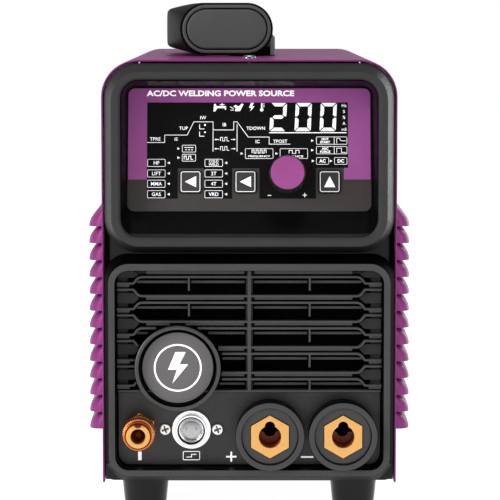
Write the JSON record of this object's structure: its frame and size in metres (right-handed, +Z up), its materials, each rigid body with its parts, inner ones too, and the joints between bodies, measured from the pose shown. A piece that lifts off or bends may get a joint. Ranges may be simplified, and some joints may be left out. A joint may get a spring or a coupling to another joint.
{
  "type": "tig welding machine",
  "caption": "Portable inverter TIG welder: steel case with louvres, tilted control panel, current and gas sockets, folding carry handle.",
  "frame": {"origin": "floor under the middle of the machine, halfway between its foremost and rearmost points", "axes": "+Z up, front panel faces -Y, +X to the right seen from the front"},
  "size_m": [0.1952, 0.506, 0.3039],
  "materials": {
    "tray_steel": "black powder coat",
    "cover_paint": "purple powder coat, satin",
    "molding_gray": "fine moulded texture, satin",
    "grille_dark": "satin",
    "screw_steel": "zinc plated",
    "panel_print": "printed overlay, purple and gray",
    "lcd_glass": "glossy black display window",
    "circuit_board": "solder mask",
    "knob_black": "knurled",
    "knob_purple": "satin",
    "button_gray": "printed key top",
    "badge_gloss": "gloss black",
    "badge_silver": "satin",
    "dinse_black": "satin black",
    "brass": "turned",
    "socket_nickel": "nickel plated",
    "foot_rubber": "moulded, slightly glossy",
    "handle_gray": "fine moulded texture",
    "rear_paint": "black powder coat",
    "fan_black": "satin",
    "guard_wire": "plated wire",
    "rocker_black": "gloss",
    "heatsink_aluminium": "extruded",
    "copper_winding": "enamelled winding",
    "hose_rubber": "smooth"
  },
  "bodies": {
    "case": {"base_tray": "tray_steel", "top_cover": "cover_paint", "front_bulkhead": "molding_gray", "display_bezel": "molding_gray", "lower_frame": "molding_gray", "air_grille": "grille_dark", "connector_panel": "grille_dark", "cover_screw_front": "screw_steel", "cover_screw_rear": "screw_steel", "control_panel": "panel_print", "lcd_module": "lcd_glass", "control_board": "circuit_board", "encoder_body": "screw_steel", "badge_ring": "badge_gloss", "badge_disc": "badge_silver", "dinse_collar_left": "dinse_black", "dinse_collar_right": "dinse_black", "dinse_insert_left": "brass", "dinse_insert_right": "brass", "dinse_nut_left": "brass", "dinse_nut_right": "brass", "gas_coupler_body": "brass", "torch_socket_shell": "socket_nickel", "torch_socket_insert": "dinse_black", "panel_screw_left": "screw_steel", "panel_screw_right": "screw_steel", "foot_front_left": "foot_rubber", "foot_front_right": "foot_rubber", "foot_rear_left": "foot_rubber", "foot_rear_right": "foot_rubber", "handle_base": "handle_gray", "hinge_pin_front": "screw_steel", "hinge_pin_rear": "screw_steel", "rear_frame": "molding_gray", "rear_panel": "rear_paint", "fan_frame": "fan_black", "fan_guard": "guard_wire", "switch_housing": "fan_black", "cable_gland": "dinse_black", "gas_inlet": "brass", "ground_stud": "screw_steel", "power_board": "circuit_board", "heatsink_left": "heatsink_aluminium", "heatsink_right": "heatsink_aluminium", "main_transformer": "copper_winding", "output_inductor": "copper_winding", "gas_solenoid": "brass", "gas_hose": "hose_rubber"},
    "handle": {"handle_grip": "handle_gray", "handle_cap_front": "handle_gray", "handle_cap_rear": "handle_gray"},
    "knob": {"encoder_knob": "knob_black", "knob_cap": "knob_purple", "encoder_shaft": "screw_steel"},
    "key_left": {"button_left": "button_gray"},
    "key_middle": {"button_middle": "button_gray"},
    "key_right": {"button_right": "button_gray"},
    "gas_sleeve": {"gas_coupler_sleeve": "brass"},
    "rocker": {"power_rocker": "rocker_black"},
    "fan": {"fan_impeller": "fan_black"}
  },
  "joints": [
    {"name": "handle_fold", "type": "hinge", "parent": "case", "child": "handle", "pos_m": [-0.0016, 0.001, 0.2873], "axis": [0, 1, 0], "range_deg": [0, 90]},
    {"name": "knob_spin", "type": "hinge", "parent": "case", "child": "knob", "pos_m": [0.0225, -0.21532, 0.20046], "axis": [0, -0.9736, 0.2284], "continuous": true},
    {"name": "press_left", "type": "slide", "parent": "case", "child": "key_left", "axis": [0, 0.9736, -0.2284], "range_m": [0, 0.0008], "stiffness_N_per_m": 1200},
    {"name": "press_middle", "type": "slide", "parent": "case", "child": "key_middle", "axis": [0, 0.9736, -0.2284], "range_m": [0, 0.0008], "stiffness_N_per_m": 1200},
    {"name": "press_right", "type": "slide", "parent": "case", "child": "key_right", "axis": [0, 0.9736, -0.2284], "range_m": [0, 0.0008], "stiffness_N_per_m": 1200},
    {"name": "gas_sleeve_slide", "type": "slide", "parent": "case", "child": "gas_sleeve", "axis": [0, 1, 0], "range_m": [0, 0.003], "stiffness_N_per_m": 1500},
    {"name": "power_rock", "type": "hinge", "parent": "case", "child": "rocker", "pos_m": [-0.052, 0.213, 0.07], "axis": [1, 0, 0], "range_deg": [-24, 0]},
    {"name": "fan_spin", "type": "hinge", "parent": "case", "child": "fan", "pos_m": [0, 0.2, 0.165], "axis": [0, 1, 0], "continuous": true}
  ]
}
